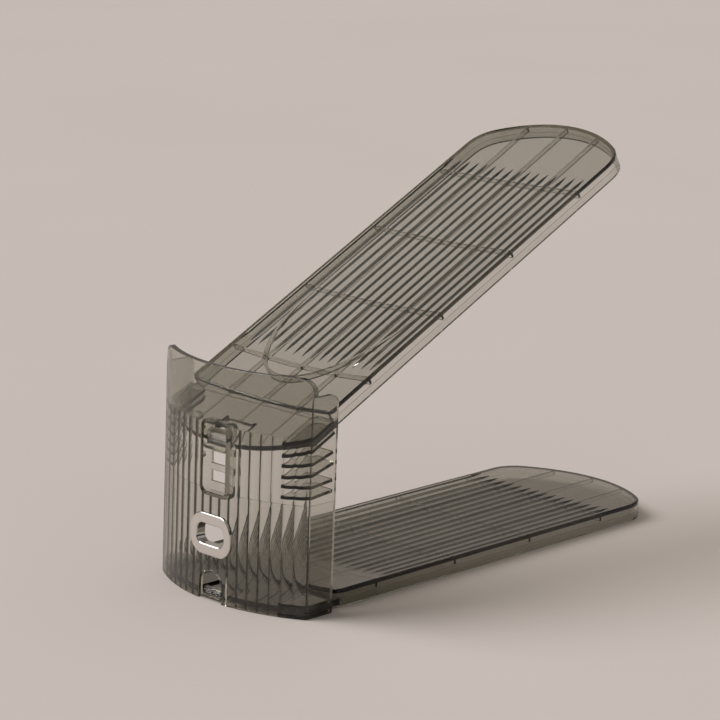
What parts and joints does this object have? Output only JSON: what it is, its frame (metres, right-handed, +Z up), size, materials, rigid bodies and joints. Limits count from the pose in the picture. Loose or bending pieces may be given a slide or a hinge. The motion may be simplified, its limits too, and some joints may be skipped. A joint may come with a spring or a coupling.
{
  "type": "shoe slot organizer",
  "caption": "Clear smoke plastic shoe slot organizer: a low base tray, a curved front column and a sloping upper tray that clips to the column, so one shoe stands above the other.",
  "frame": {"origin": "on the floor, at the middle of the object's length and width", "axes": "+X runs from the column to the far rounded end, +Z is up, Y = 0 is the plane of symmetry"},
  "size_m": [0.2574, 0.1, 0.1916],
  "materials": {
    "smoke_plastic": "clear smoke grey moulded plastic, polished",
    "plated_ring": "polished chrome plating"
  },
  "bodies": {
    "base": {"base_tray": "smoke_plastic"},
    "front_column": {"column": "smoke_plastic", "finger_ring": "plated_ring"},
    "ramp": {"upper_tray": "smoke_plastic"},
    "ramp_button": {"tray_catch": "smoke_plastic"},
    "base_button": {"base_catch": "smoke_plastic"}
  },
  "joints": [
    {"name": "column_pull", "type": "slide", "parent": "base", "child": "front_column", "axis": [-1, 0, 0], "range_m": [0, 0.04]},
    {"name": "tray_pull", "type": "slide", "parent": "front_column", "child": "ramp", "axis": [0.8949, 0, 0.4462], "range_m": [0, 0.035]},
    {"name": "tray_catch_press", "type": "hinge", "parent": "ramp", "child": "ramp_button", "pos_m": [-0.10789, 0, 0.07838], "axis": [0, -1, 0], "range_deg": [0, 3], "stiffness_Nm_per_rad": 1},
    {"name": "base_catch_press", "type": "hinge", "parent": "base", "child": "base_button", "pos_m": [-0.11446, 0, 0.0023], "axis": [0, -1, 0], "range_deg": [0, 3], "stiffness_Nm_per_rad": 1}
  ]
}
